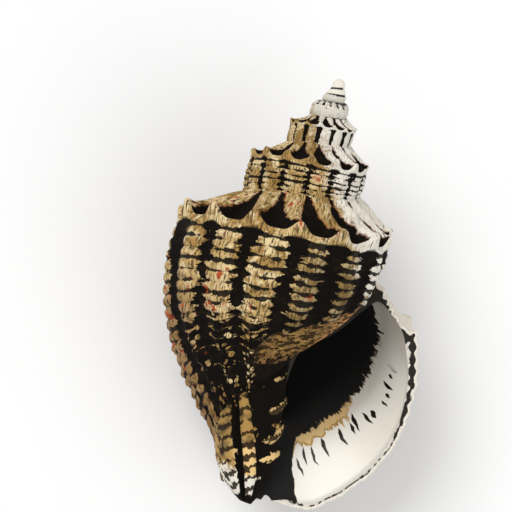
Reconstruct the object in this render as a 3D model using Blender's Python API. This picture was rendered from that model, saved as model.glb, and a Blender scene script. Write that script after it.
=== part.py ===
"""A murex-like sea shell, grown as one piece and lying on its back with its aperture up.

The shell is a right-handed spiral. Every turn repeats the turn before it, larger by the same
factor, so one outline of the body whorl describes the whole outside. Ribs run down each turn from
its shoulder. Short spines stand on the shoulder between them, and a crest runs up from each spine
to the suture. The end of the last turn grows more slowly, and its edge flares out as the lip. A second
tube, inside the first, is the hollow in which the animal lived.

Outlines are points in a half-plane through the axis: the distance from the axis, and the distance
down the axis from the spiral's pole just under the apex, both for the turn that ends at the lip.
"""

import math

import bmesh
import bpy
import numpy as np
from mathutils import Matrix, Vector

MM = 0.001

# Driving dimensions, in millimetres where they are lengths
SPIRAL_GROWTH = 1.85  # size of a turn over the size of the turn before it
RIBS = 14.25  # ribs in one turn
LIP_PHASE = 0.16  # how far past the last rib the lip stands, in ribs
RIB_STEPS = 4  # sections along one rib in the last two lengths of tube
LENGTHS = 7  # lengths of tube that the shell is joined from
LENGTH_RIBS = 12  # ribs on each of them, so that none of them meets itself
JOINT_PHASE = 0.25  # where two lengths meet, in ribs past a rib's crest
JOINT_RIBS = 0.3  # how far one length runs into the next, in ribs
JOINT_NARROWING = 0.035  # how much an end narrows, so that it is buried in the next length
SMOOTH_TURNS = 4.3  # turns before the lip where the ribs begin
APEX_SIZE = 0.016  # added to a turn's relative radius, so that the apex stays blunt
NUCLEUS_RADIUS = 1.35
SLOW_FROM = 0.4  # turns before the lip where growth begins to slow
SLOW_TO = 0.1  # turns before the lip where the slower growth is complete
LIP_SHRINK = 0.135  # how much narrower the lip is than the spiral's natural size
LIP_SHORTEN = 0.155  # how much shorter the lip is than the spiral's natural size
SUTURE_HEIGHT = 34.0  # height at which the last turn meets the one before it
RAMP_HEIGHT = 10.0  # from there down to its shoulder
TURN_HEIGHT = 62.0  # from there down to the end of the canal
SUTURE_WIDEN = 0.04  # how much wider the lip is at the suture
SUTURE_RISE = 0.065  # how much nearer the apex the lip is at the suture
CANAL_RISE = 0.03  # and how much more than LIP_SHORTEN at the canal
FLARE_TURN = 0.06  # the part of a turn over which the lip flares out
LIP_FADE = 0.12  # the part of a turn over which the ribs get lower towards the lip
LIP_RIB = 0.3  # how much of them is left at its edge
HANG = 0.1  # the turns hang lower on the lip's side by this slope
RIB_SHARPNESS = 1.3  # above 1 the ribs are narrower than the furrows
RIB_ONSET = 0.8  # turns over which the ribs grow to their full height
ROUND_FROM = 2.9  # turns before the lip where the shoulder begins to fade
ROUND_TO = 3.6  # turns before the lip where it has gone and the turns are round
ROUND_RIB = 0.4  # how much of the ribs is left there

# The outline from the suture over the shoulder to the canal, midway between two ribs:
# radius, height, then how far a rib's crest stands out of it, then how far the lip flares there,
# then how far ahead of the wall's ribs the crests run there, in ribs. Spines stand half a rib back.
OUTLINE = (
    (14.2, 33.0, 0.0, 0.0, 0.0, 0.05),
    (15.9, 34.2, 0.1, -0.9, 0.0, 0.0),
    (19.4, 38.6, 0.6, -2.9, 0.3, -0.14),
    (23.6, 42.8, 0.9, -4.0, 0.2, -0.32),
    (26.6, 44.9, 1.4, -4.4, 0.0, -0.45),
    (28.5, 44.9, 1.9, -3.6, 0.0, -0.5),
    (28.8, 47.0, 0.5, -0.6, 0.7, -0.4),
    (28.0, 51.5, 1.5, -0.3, 2.1, 0.0),
    (27.9, 56.0, 1.6, 0.0, 3.0, 0.0),
    (27.3, 60.5, 1.3, 0.3, 3.6, 0.0),
    (25.9, 65.5, 1.2, 0.6, 4.7, 0.0),
    (23.4, 70.5, 1.1, 0.9, 5.9, 0.0),
    (20.0, 75.3, 0.9, 1.0, 6.8, 0.0),
    (16.0, 80.0, 0.6, 0.8, 7.3, 0.0),
    (11.8, 84.6, 0.4, 0.6, 7.2, 0.0),
    (8.2, 88.5, 0.2, 0.3, 5.0, 0.0),
    (6.0, 92.0, 0.0, 0.0, 2.0, 0.0),
    (4.0, 95.6, 0.0, 0.0, 0.0, 0.0),
)
# The same points of the first turns, which are round, as far as the next turn leaves them in view
ROUND_OUTLINE = (
    (14.2, 33.0),
    (16.4, 33.6),
    (20.2, 35.4),
    (24.0, 38.4),
    (26.6, 41.4),
    (28.1, 44.4),
    (28.9, 48.0),
    (29.2, 52.0),
    (28.8, 56.5),
)
# The rest of a turn's section, hidden inside the shell
INNER_SIDE = ((1.3, 92.0), (1.3, 62.0), (1.3, 30.5))

# The hollow's section deep inside, and at the lip before it flares. Both start at the suture,
# go round under the outer wall, and come back up the columella and the wall of the turn before.
HOLLOW = (
    (16.3, 36.8),
    (20.4, 41.4),
    (24.4, 45.3),
    (26.0, 48.5),
    (26.2, 53.5),
    (25.9, 58.5),
    (24.7, 63.8),
    (22.2, 69.0),
    (18.7, 73.6),
    (14.8, 78.0),
    (11.2, 80.5),
    (8.6, 80.8),
    (6.6, 78.0),
    (5.6, 71.0),
    (5.2, 61.0),
    (5.4, 53.0),
    (7.5, 47.0),
    (10.0, 44.2),
    (12.3, 41.4),
    (14.2, 38.6),
)
MOUTH = (
    (17.0, 34.8),
    (19.9, 36.7),
    (22.2, 38.9),
    (23.3, 41.8),
    (23.5, 45.5),
    (23.2, 49.8),
    (22.1, 54.2),
    (19.9, 58.2),
    (16.9, 62.0),
    (13.4, 65.5),
    (9.7, 68.8),
    (6.9, 71.8),
    (4.8, 75.0),
    (5.2, 71.5),
    (5.9, 67.5),
    (4.8, 58.0),
    (5.6, 48.5),
    (9.9, 44.2),
    (12.3, 41.2),
    (14.6, 37.6),
)
MOUTH_FLARE = (0.0, 0.5, 0.6, 0.9, 2.1, 3.1, 4.2, 5.5, 6.6, 7.2, 7.2, 5.0, 2.0)
PARIETAL_POINTS = 5  # the last points of both, which follow the turn before
MOUTH_TURN = 0.14  # the part of a turn over which the hollow takes the mouth's outline
HOLLOW_TURNS = 1.2  # how far back from the lip the hollow goes
DEEP_SECTIONS = 30  # sections of the hollow behind the mouth, and in the mouth
MOUTH_SECTIONS = 12
MOUTH_OVERRUN = 0.012  # how far the hollow is cut past the lip, in turns

# The columella, from the apex to the end of the canal: height, sideways shift and radius
COLUMELLA = (
    (1.0, 0.0, 0.25),
    (20.0, 0.0, 1.6),
    (40.0, 0.0, 3.1),
    (52.0, 0.3, 4.2),
    (60.0, 0.6, 5.0),
    (66.0, 0.9, 5.6),
    (70.0, 1.2, 5.3),
    (73.5, 1.7, 4.2),
    (76.3, 2.5, 2.6),
    (78.0, 3.2, 1.1),
)
COLUMELLA_SIDES = 14

# How the shell settles when it is laid on its back, on the ribs and spines of its last turn
PITCH = math.radians(8.75)
ROLL = math.radians(-1.7)


def smooth(x):
    """0 below 0, 1 above 1, and an S curve between."""
    x = np.clip(x, 0.0, 1.0)
    return x * x * (3.0 - 2.0 * x)


def size(turn):
    """Relative size of the shell at a turn, which is 0 at the lip and negative before it."""
    return SPIRAL_GROWTH**turn


def rib_wave(turn, ahead):
    """1 on a rib's crest and 0 midway between two ribs; the first turns are smooth."""
    wave = 0.5 + 0.5 * np.cos(2.0 * math.pi * (RIBS * turn + LIP_PHASE - ahead))
    return wave**RIB_SHARPNESS * smooth((turn + SMOOTH_TURNS) / RIB_ONSET)


def slowed(turn, radius, height):
    """Fits the natural outline to the end of the last turn, which stays smaller than the spiral."""
    slow = smooth((turn + SLOW_FROM) / (SLOW_FROM - SLOW_TO))
    ramp = smooth((height - SUTURE_HEIGHT) / RAMP_HEIGHT)
    down = np.clip((height - SUTURE_HEIGHT) / TURN_HEIGHT, 0.0, 1.0)
    widen = SUTURE_WIDEN - (SUTURE_WIDEN + LIP_SHRINK) * ramp
    rise = SUTURE_RISE + (LIP_SHORTEN - SUTURE_RISE) * ramp + CANAL_RISE * down
    return radius * (1.0 + slow * widen), height * (1.0 - slow * rise)


def outward(outline):
    """Directions at right angles to outlines that run down the outside."""
    along = np.gradient(outline, axis=-2)
    across = np.stack((along[..., 1], -along[..., 0]), axis=-1)
    return across / np.linalg.norm(across, axis=-1, keepdims=True)


def flare(turn):
    """How far the lip has flared: 0 before it begins and 1 at its edge."""
    return np.clip((turn + FLARE_TURN) / FLARE_TURN, 0.0, 1.0) ** 2


def turn_outline(turns):
    """Sections of the solid turns, as an array of turns x points x (radius, height)."""
    table = np.array(OUTLINE)
    rounded = table[:, :2].copy()
    rounded[: len(ROUND_OUTLINE)] = ROUND_OUTLINE
    turn = turns[:, None]
    early = smooth((-turn - ROUND_FROM) / (ROUND_TO - ROUND_FROM))
    fade = smooth((turn + LIP_FADE) / LIP_FADE)
    wave = rib_wave(turn, table[:, 5]) * (1.0 - (1.0 - LIP_RIB) * fade)
    wave = wave * (1.0 - (1.0 - ROUND_RIB) * early)
    radius = table[:, 0] + early * (rounded[:, 0] - table[:, 0]) + wave * table[:, 2]
    height = table[:, 1] + early * (rounded[:, 1] - table[:, 1]) + wave * table[:, 3]
    radius, height = slowed(turn, radius, height)
    outside = np.stack((radius, height), axis=-1)
    outside = outside + outward(outside) * (flare(turn) * table[:, 4])[..., None]
    inner = np.array(INNER_SIDE)
    inner_radius, inner_height = slowed(turn, inner[:, 0], inner[:, 1])
    inside = np.stack(np.broadcast_arrays(inner_radius, inner_height), axis=-1)
    return np.concatenate((outside, inside), axis=1) * size(turns)[:, None, None]


def hollow_outline(turns):
    """Sections of the hollow, in the same form."""
    turn = turns[:, None]
    deep = np.array(HOLLOW)
    mouth = np.array(MOUTH)
    opening = smooth((turn + MOUTH_TURN) / MOUTH_TURN)
    deep_section = np.stack(slowed(turn, deep[:, 0], deep[:, 1]), axis=-1)
    deep_section[:, -PARIETAL_POINTS:] = deep[-PARIETAL_POINTS:]
    section = deep_section * (1.0 - opening)[..., None] + mouth * opening[..., None]
    width = np.zeros(len(mouth))
    width[: len(MOUTH_FLARE)] = MOUTH_FLARE
    section = section + outward(section) * (flare(turn) * width)[..., None]
    return section * size(turn)[..., None]


def place(turns, sections):
    """Turns sections in half-planes into points: x to the lip's side, y to the apex, z to the mouth."""
    angle = 2.0 * math.pi * turns[:, None]
    radius = sections[..., 0] * (1.0 + APEX_SIZE / size(turns)[:, None])
    x = radius * np.cos(angle)
    z = radius * np.sin(angle)
    y = -(sections[..., 1] + HANG * x)
    return np.stack((x, y, z), axis=-1) * MM


def make_object(name, bm, collection):
    """Turns a closed bmesh's faces outward and makes an object of it."""
    bmesh.ops.recalc_face_normals(bm, faces=bm.faces)
    mesh = bpy.data.meshes.new(name)
    bm.to_mesh(mesh)
    bm.free()
    obj = bpy.data.objects.new(name, mesh)
    collection.objects.link(obj)
    return obj


def make_tube(name, turns, sections, collection):
    """Lofts closed sections into one closed solid: a grid, wrapped round, with its ends filled."""
    rows, columns = sections.shape[:2]
    points = place(turns, sections)
    bm = bmesh.new()
    bmesh.ops.create_grid(bm, x_segments=columns, y_segments=rows - 1, size=1.0)
    for vertex in bm.verts:
        column = round((vertex.co.x + 1.0) / 2.0 * columns) % columns
        row = round((vertex.co.y + 1.0) / 2.0 * (rows - 1))
        vertex.co = Vector(points[row, column])
    bmesh.ops.remove_doubles(bm, verts=bm.verts, dist=1e-6)
    ends = [edge for edge in bm.edges if edge.is_boundary]
    caps = bmesh.ops.holes_fill(bm, edges=ends, sides=0)
    bmesh.ops.triangulate(bm, faces=caps["faces"])
    return make_object(name, bm, collection)


def make_length(name, number, collection):
    """One solid length of the coiled tube. The first has the lip; both ends of the others narrow.

    Ends meet midway between a rib and a spine.
    """
    first = -(LENGTH_RIBS * (number + 1) + JOINT_PHASE)
    last = -(LENGTH_RIBS * number + JOINT_PHASE) if number else LIP_PHASE
    step = 1.0 / RIB_STEPS if number < 2 else 2.0 / RIB_STEPS
    middle = np.arange(first + step, last - 0.5 * step, step)
    start = (first - JOINT_RIBS, first + JOINT_RIBS * 0.6)
    end = (last - JOINT_RIBS * 0.6, last + JOINT_RIBS)
    narrow = np.zeros(len(middle) + 4)
    narrow[0] = JOINT_NARROWING
    if number:
        narrow[-1] = JOINT_NARROWING
    else:
        end = (last - FLARE_TURN * RIBS * 0.25, last)
    turns = (np.sort(np.concatenate((start, middle, end))) - LIP_PHASE) / RIBS
    sections = turn_outline(turns)
    middles = sections.mean(axis=1, keepdims=True)
    sections = middles + (sections - middles) * (1.0 - narrow)[:, None, None]
    return make_tube(name, turns, sections, collection)


def make_columella(name, collection):
    """The pillar round the axis, as rings joined from the apex to the end of the canal."""
    rings = len(COLUMELLA)
    bm = bmesh.new()
    bmesh.ops.create_grid(bm, x_segments=COLUMELLA_SIDES, y_segments=rings - 1, size=1.0)
    for vertex in bm.verts:
        side = round((vertex.co.x + 1.0) / 2.0 * COLUMELLA_SIDES) % COLUMELLA_SIDES
        height, shift, radius = COLUMELLA[round((vertex.co.y + 1.0) / 2.0 * (rings - 1))]
        angle = 2.0 * math.pi * side / COLUMELLA_SIDES
        x = shift + radius * math.cos(angle)
        vertex.co = Vector((x, -height - HANG * x, radius * math.sin(angle))) * MM
    bmesh.ops.remove_doubles(bm, verts=bm.verts, dist=1e-6)
    bmesh.ops.holes_fill(bm, edges=[edge for edge in bm.edges if edge.is_boundary], sides=0)
    return make_object(name, bm, collection)


def make_nucleus(name, collection):
    """The round first turn of the shell, at the apex."""
    bm = bmesh.new()
    bmesh.ops.create_uvsphere(bm, u_segments=12, v_segments=8, radius=NUCLEUS_RADIUS * MM)
    return make_object(name, bm, collection)


def shell_material():
    """Tan, faintly glossy shell."""
    material = bpy.data.materials.new("tan_shell")
    material.use_nodes = True
    surface = material.node_tree.nodes["Principled BSDF"]
    surface.inputs["Base Color"].default_value = (0.68, 0.47, 0.22, 1.0)
    surface.inputs["Roughness"].default_value = 0.5
    surface.inputs["Metallic"].default_value = 0.0
    return material


def boolean(obj, other, operation):
    """Joins or cuts an object with another, and leaves the modifier on it.

    The lengths meet at shallow angles, where the exact solver leaves edges open.
    """
    modifier = obj.modifiers.new(other.name, "BOOLEAN")
    modifier.operation = operation
    modifier.solver = "MANIFOLD"
    modifier.object = other
    other.hide_render = True
    other.display_type = "WIRE"


def lay_down(objects):
    """Turns the solids to the way the shell rests and puts the middle of its underside at the origin."""
    turned = Matrix.Rotation(ROLL, 4, "Y") @ Matrix.Rotation(PITCH, 4, "X")
    for obj in objects:
        obj.data.transform(turned)
    points = np.array([vertex.co for obj in objects for vertex in obj.data.vertices])
    low = points.min(axis=0)
    high = points.max(axis=0)
    shift = Vector((-(low[0] + high[0]) / 2.0, -(low[1] + high[1]) / 2.0, -low[2]))
    for obj in objects:
        obj.data.transform(Matrix.Translation(shift))


def main():
    for obj in list(bpy.data.objects):
        bpy.data.objects.remove(obj, do_unlink=True)
    part = bpy.data.collections.new("murex_shell")
    helpers = bpy.data.collections.new("cutters")
    bpy.context.scene.collection.children.link(part)
    bpy.context.scene.collection.children.link(helpers)

    shell = make_length("shell", 0, part)
    others = [make_length(f"length_{number + 1}", number, helpers) for number in range(1, LENGTHS)]
    others.append(make_columella("columella", helpers))
    others.append(make_nucleus("nucleus", helpers))
    deep = np.linspace(-HOLLOW_TURNS, -MOUTH_TURN, DEEP_SECTIONS)
    near = np.linspace(-MOUTH_TURN, 0.0, MOUTH_SECTIONS)[1:]
    turns = np.concatenate((deep, near, (MOUTH_OVERRUN,)))
    hollow = make_tube("hollow", turns, hollow_outline(np.minimum(turns, 0.0)), helpers)

    for other in others:
        boolean(shell, other, "UNION")
    boolean(shell, hollow, "DIFFERENCE")
    lay_down([shell, *others, hollow])
    shell.data.materials.append(shell_material())
    shell.data.shade_smooth()


main()
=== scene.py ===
import math

import bmesh
import bpy
import numpy as np
from mathutils import Matrix, Vector


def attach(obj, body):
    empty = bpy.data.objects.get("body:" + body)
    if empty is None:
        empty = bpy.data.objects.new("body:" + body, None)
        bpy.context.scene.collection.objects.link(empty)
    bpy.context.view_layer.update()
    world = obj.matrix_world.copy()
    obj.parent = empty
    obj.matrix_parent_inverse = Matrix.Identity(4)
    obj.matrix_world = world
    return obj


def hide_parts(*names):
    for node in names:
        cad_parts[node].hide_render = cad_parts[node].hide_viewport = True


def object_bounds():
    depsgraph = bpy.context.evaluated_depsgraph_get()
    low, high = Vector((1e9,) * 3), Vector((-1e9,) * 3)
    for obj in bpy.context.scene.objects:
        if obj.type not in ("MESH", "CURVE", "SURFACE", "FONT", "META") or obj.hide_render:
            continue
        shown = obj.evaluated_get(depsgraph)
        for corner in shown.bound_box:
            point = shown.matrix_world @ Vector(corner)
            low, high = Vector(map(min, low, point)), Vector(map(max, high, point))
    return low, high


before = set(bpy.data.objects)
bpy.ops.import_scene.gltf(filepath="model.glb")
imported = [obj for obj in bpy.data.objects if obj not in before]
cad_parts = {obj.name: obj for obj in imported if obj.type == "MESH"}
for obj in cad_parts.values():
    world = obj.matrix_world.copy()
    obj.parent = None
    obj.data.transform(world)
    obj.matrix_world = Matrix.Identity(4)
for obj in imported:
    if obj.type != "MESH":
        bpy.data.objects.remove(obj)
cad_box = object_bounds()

# The outside of the shell: a tube that the animal's mantle adds to at its lip, coiled to the right.
# It is chalky calcite, with ribs across the tube and cords along it, and every turn repeats the turn
# before it, made larger. It grows here in lengths of less than a turn, which are joined further on.
MM = 0.001
SPIRAL_GROWTH = 1.85
RIBS = 14.25
LIP_PHASE = 0.16
SMOOTH_TURNS = 5.0
APEX_SIZE = 0.016
SLOW_FROM = 0.4
SLOW_TO = 0.1
LIP_SHRINK = 0.135
LIP_SHORTEN = 0.155
SUTURE_HEIGHT = 34.0
RAMP_HEIGHT = 10.0
TURN_HEIGHT = 62.0
SUTURE_WIDEN = 0.04
SUTURE_RISE = 0.065
CANAL_RISE = 0.03
FLARE_TURN = 0.06
LIP_FADE = 0.12
LIP_RIB = 0.3
HANG = 0.1
RIB_ONSET = 0.8
ROUND_FROM = 2.9
ROUND_TO = 3.6
ROUND_RIB = 0.75
CORD_SPACING = 2.75
CORD_START = 1.7
CORD_HEIGHT = 0.48
CORD_SAG = 0.7
CORD_ONSET = (-2.7, -2.1)
BEAD_HEIGHT = 0.8
LENGTH_RIBS = 12
# Rows to a rib and columns of each length, from the lip back
LENGTH_FINENESS = ((24, 150), (18, 96), (12, 64), (8, 48), (6, 36), (6, 32), (6, 32))
JOINT_PHASE = 0.25
JOINT_RIBS = 0.3
JOINT_NARROWING = 0.02
# From the suture over the shoulder to the canal, midway between two ribs: radius, height, how far a
# rib's crest stands out (two numbers), how far the lip flares, how far ahead of the wall's ribs the
# crests run (in ribs), how narrow they are, how strong the cords are, how strong the beads are, and
# how much further the hollows between the shoulder's crests are sunk
OUTLINE = (
    (14.2, 33.0, 0.0, 0.0, 0.0, 0.05, 1.0, 0.0, 0.0, 0.0),
    (15.9, 34.2, 0.1, -0.9, 0.0, 0.0, 1.0, 0.0, 0.0, 0.2),
    (19.3, 38.6, 0.6, -2.8, 0.3, -0.14, 1.2, 0.0, 0.0, 0.8),
    (23.4, 42.8, 0.9, -3.8, 0.2, -0.32, 1.5, 0.0, 0.0, 1.4),
    (26.4, 44.9, 1.3, -4.1, 0.0, -0.45, 1.9, 0.0, 0.0, 1.7),
    (28.6, 44.7, 1.8, -3.5, 0.0, -0.5, 2.4, 0.0, 0.0, 0.0),
    (28.9, 47.0, 0.6, -0.9, 0.7, -0.5, 1.6, 0.5, 0.0, 0.0),
    (28.0, 51.5, 1.5, -0.3, 2.1, 0.0, 0.8, 1.0, 0.0, 0.0),
    (27.9, 56.0, 1.6, 0.0, 3.0, 0.0, 0.75, 1.0, 0.0, 0.0),
    (27.3, 60.5, 1.3, 0.3, 3.6, 0.0, 0.75, 1.0, 0.0, 0.0),
    (25.9, 65.5, 1.2, 0.6, 4.7, 0.0, 0.8, 1.0, 0.1, 0.0),
    (23.4, 70.5, 1.1, 0.9, 5.9, 0.0, 0.9, 0.8, 0.5, 0.0),
    (20.0, 75.3, 0.9, 1.0, 6.8, 0.0, 1.0, 0.6, 1.0, 0.0),
    (16.0, 80.0, 0.6, 0.8, 7.3, 0.0, 1.0, 0.5, 1.0, 0.0),
    (11.8, 84.6, 0.4, 0.6, 7.2, 0.0, 1.0, 0.4, 0.9, 0.0),
    (8.2, 88.5, 0.2, 0.3, 5.0, 0.0, 1.0, 0.3, 0.4, 0.0),
    (6.0, 92.0, 0.0, 0.0, 2.0, 0.0, 1.0, 0.0, 0.0, 0.0),
    (4.0, 95.6, 0.0, 0.0, 0.0, 0.0, 1.0, 0.0, 0.0, 0.0),
)
# The same points of the first turns, which are round, as far as the next turn leaves them in view
ROUND_OUTLINE = (
    (14.2, 33.0),
    (16.4, 33.6),
    (20.2, 35.4),
    (24.0, 38.4),
    (26.6, 41.4),
    (28.1, 44.4),
    (28.9, 48.0),
    (29.2, 52.0),
    (28.8, 56.5),
)
INNER_SIDE = ((1.3, 92.0), (1.3, 62.0), (1.3, 30.5))
SEEN_OUTLINE = 9.6
CALLUS_EDGE = ((1.0, 5.0), (8.0, 13.0), (10.0, 30.0), (11.0, 60.0), (11.7, 90.0), (12.6, 103.0))
CALLUS_HEIGHT = 0.25
LIP_ROUNDING = 0.45
LIP_ROWS = 12
LIP_BEND_ROWS = 4
LIP_FACE = 0.03
FACE_RIBS = 10.0
LAST_TURN_LENGTH = 170.0
LIP_CRENULATION = 0.35
chance = np.random.default_rng(7)
RIB_STRENGTHS = 1.0 + 0.12 * chance.standard_normal(80)
SPINE_STRENGTHS = 1.0 + 0.2 * chance.standard_normal(80)
CORD_STRENGTHS = 0.8 + 0.5 * chance.random(40)
BEAD_STRENGTHS = np.clip(1.25 * chance.random(97), 0.15, 1.0)


def smooth(x):
    """0 below 0, 1 above 1, and an S curve between."""
    x = np.clip(x, 0.0, 1.0)
    return x * x * (3.0 - 2.0 * x)


def through(points, at):
    """A smooth curve through the rows of a table, read at fractional row numbers."""
    points = np.asarray(points, float)
    last = len(points) - 1
    cell = np.clip(np.floor(at).astype(int), 0, last - 1)
    t = (at - cell)[:, None]
    before = points[np.maximum(cell - 1, 0)]
    here = points[cell]
    there = points[cell + 1]
    after = points[np.minimum(cell + 2, last)]
    bend = 2.0 * before - 5.0 * here + 4.0 * there - after
    twist = 3.0 * here - before - 3.0 * there + after
    return 0.5 * (2.0 * here + (there - before) * t + bend * t**2 + twist * t**3)


def spaced(points, count, dense_to=None, sparse=0.2):
    """Row numbers that divide a curve through a table evenly, or more thinly past one row."""
    fine = np.linspace(0.0, len(points) - 1.0, 3000)
    curve = through(points, fine)[:, :2]
    step = np.linalg.norm(np.diff(curve, axis=0), axis=1)
    run = np.concatenate(([0.0], np.cumsum(step)))
    if dense_to is not None:
        step = step * np.where(fine[1:] > dense_to, sparse, 1.0)
    share = np.concatenate(([0.0], np.cumsum(step)))
    at = np.interp(np.linspace(0.0, share[-1], count), share, fine)
    return at, np.interp(at, fine, run)


def size(turn):
    """Relative size of the shell at a turn, which is 0 at the lip and negative before it."""
    return SPIRAL_GROWTH**turn


def outward(outline):
    """Directions at right angles to outlines that run down the outside."""
    along = np.gradient(outline, axis=-2)
    across = np.stack((along[..., 1], -along[..., 0]), axis=-1)
    return across / np.linalg.norm(across, axis=-1, keepdims=True)


def flare(turn):
    """How far the lip has flared: 0 before it begins and 1 at its edge."""
    return np.clip((turn + FLARE_TURN) / FLARE_TURN, 0.0, 1.0) ** 2


def slowed(turn, radius, height):
    """Fits the natural outline to the end of the last turn, which stays smaller than the spiral."""
    slow = smooth((turn + SLOW_FROM) / (SLOW_FROM - SLOW_TO))
    ramp = smooth((height - SUTURE_HEIGHT) / RAMP_HEIGHT)
    down = np.clip((height - SUTURE_HEIGHT) / TURN_HEIGHT, 0.0, 1.0)
    widen = SUTURE_WIDEN - (SUTURE_WIDEN + LIP_SHRINK) * ramp
    rise = SUTURE_RISE + (LIP_SHORTEN - SUTURE_RISE) * ramp + CANAL_RISE * down
    return radius * (1.0 + slow * widen), height * (1.0 - slow * rise)


def place(turns, sections):
    """Turns sections in half-planes into points: x to the lip's side, y to the apex, z to the mouth."""
    angle = 2.0 * math.pi * turns
    radius = sections[..., 0] * (1.0 + APEX_SIZE / size(turns))
    x = radius * np.cos(angle)
    z = radius * np.sin(angle)
    y = -(sections[..., 1] + HANG * x)
    return np.stack((x, y, z), axis=-1) * MM


def sculpture(turn, at, run):
    """Relief of the outside at turns x places on the outline: ribs, cords, beads and hollows."""
    table = through(OUTLINE, at)
    narrow = np.maximum(table[:, 6], 0.6)
    phase = RIBS * turn + LIP_PHASE
    wall = (0.5 + 0.5 * np.cos(2.0 * math.pi * phase)) ** narrow
    crest = (0.5 + 0.5 * np.cos(2.0 * math.pi * (phase - table[:, 5]))) ** narrow
    on_wall = smooth((at - 5.4) / 1.0)
    wave = crest + (wall - crest) * on_wall
    rib_strength = RIB_STRENGTHS[np.rint(phase).astype(int) % len(RIB_STRENGTHS)]
    spine_strength = SPINE_STRENGTHS[np.rint(phase + 0.5).astype(int) % len(SPINE_STRENGTHS)]
    early = smooth((-turn - ROUND_FROM) / (ROUND_TO - ROUND_FROM))
    grown = smooth((turn + SMOOTH_TURNS) / RIB_ONSET) * (1.0 - (1.0 - ROUND_RIB) * early)
    lip = flare(turn)
    edge = np.interp(at, *np.transpose(CALLUS_EDGE)) / 360.0 - 1.0
    callus = smooth((edge - turn) / 0.015) * smooth((turn + 1.2) / 0.05) * smooth(at - 7.0)
    fade = 1.0 - (1.0 - LIP_RIB) * smooth((turn + LIP_FADE) / LIP_FADE)
    rib = wave * (spine_strength + (rib_strength - spine_strength) * on_wall)
    rib = rib * grown * fade * (1.0 - 0.85 * callus)
    sag = CORD_SAG * (1.0 - wall) + 0.12 * np.sin(2.0 * math.pi * (phase + 0.2))
    course = (run + CORD_START + sag) / CORD_SPACING
    band = np.rint(course).astype(int)
    cord = smooth(np.abs(course - band) / 0.32)
    cord = cord * CORD_STRENGTHS[np.floor(course).astype(int) % len(CORD_STRENGTHS)]
    bead = (0.5 + 0.5 * np.cos(4.0 * math.pi * phase)) * np.abs(np.sin(math.pi * course)) ** 0.6
    which = band + 7 * np.rint(2.0 * phase).astype(int)
    bead = bead * BEAD_STRENGTHS[which % len(BEAD_STRENGTHS)]
    ringed = smooth((turn - CORD_ONSET[0]) / (CORD_ONSET[1] - CORD_ONSET[0]))
    cords = np.clip(table[:, 7], 0.0, 1.0) * (0.4 + 0.8 * wall) * cord * CORD_HEIGHT * ringed
    beads = np.clip(table[:, 8], 0.0, 1.0) * bead * BEAD_HEIGHT
    thin = lip * smooth((at - 9.0) / 2.0)
    relief = (cords + beads) * grown * (1.0 - callus) * (1.0 - 0.4 * lip) * (1.0 - 0.85 * thin)
    relief = relief + CALLUS_HEIGHT * callus
    relief = relief + lip * (1.0 - thin) * LIP_CRENULATION * np.sin(2.0 * math.pi * run / CORD_SPACING)
    relief = relief + 0.12 * thin * np.sin(run * 0.9)
    sunk = np.clip(1.0 - rib, 0.0, 1.0) * grown * (1.0 - smooth((turn + 0.2) / 0.1)) * table[:, 9]
    shown = {
        "rib": np.where(at < 5.5, crest * spine_strength, wall * rib_strength) * fade,
        "course": course,
        "grown": grown,
        "callus": callus,
        "thin": thin,
    }
    return table, rib, relief, sunk, shown


def grow(name, points, maps):
    """A closed solid from rows of points: a grid, wrapped round into a tube, with its ends filled.

    maps holds pairs of numbers for each point, kept as UV maps for the material.
    """
    rows, columns = points.shape[:2]
    grid = bmesh.new()
    bmesh.ops.create_grid(grid, x_segments=columns, y_segments=rows - 1, size=1.0)
    mesh = bpy.data.meshes.new(name)
    grid.to_mesh(mesh)
    grid.free()
    flat = np.empty(len(mesh.vertices) * 3)
    mesh.vertices.foreach_get("co", flat)
    flat = flat.reshape(-1, 3)
    column = np.rint((flat[:, 0] + 1.0) / 2.0 * columns).astype(int) % columns
    row = np.rint((flat[:, 1] + 1.0) / 2.0 * (rows - 1)).astype(int)
    mesh.vertices.foreach_set("co", points[row, column].ravel())
    corner = np.empty(len(mesh.loops), dtype=np.int32)
    mesh.loops.foreach_get("vertex_index", corner)
    for layer, pair in maps.items():
        pair = np.stack([np.broadcast_to(value, (rows, columns)) for value in pair], axis=-1)
        uv = mesh.uv_layers.new(name=layer)
        uv.data.foreach_set("uv", pair[row[corner], column[corner]].astype(float).ravel())
    work = bmesh.new()
    work.from_mesh(mesh)
    bmesh.ops.remove_doubles(work, verts=work.verts, dist=1e-6)
    bmesh.ops.holes_fill(work, edges=[edge for edge in work.edges if edge.is_boundary], sides=0)
    bmesh.ops.triangulate(work, faces=[face for face in work.faces if len(face.verts) > 4])
    bmesh.ops.recalc_face_normals(work, faces=work.faces)
    work.to_mesh(mesh)
    work.free()
    piece = bpy.data.objects.new(name, mesh)
    bpy.context.scene.collection.objects.link(piece)
    return piece


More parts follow.
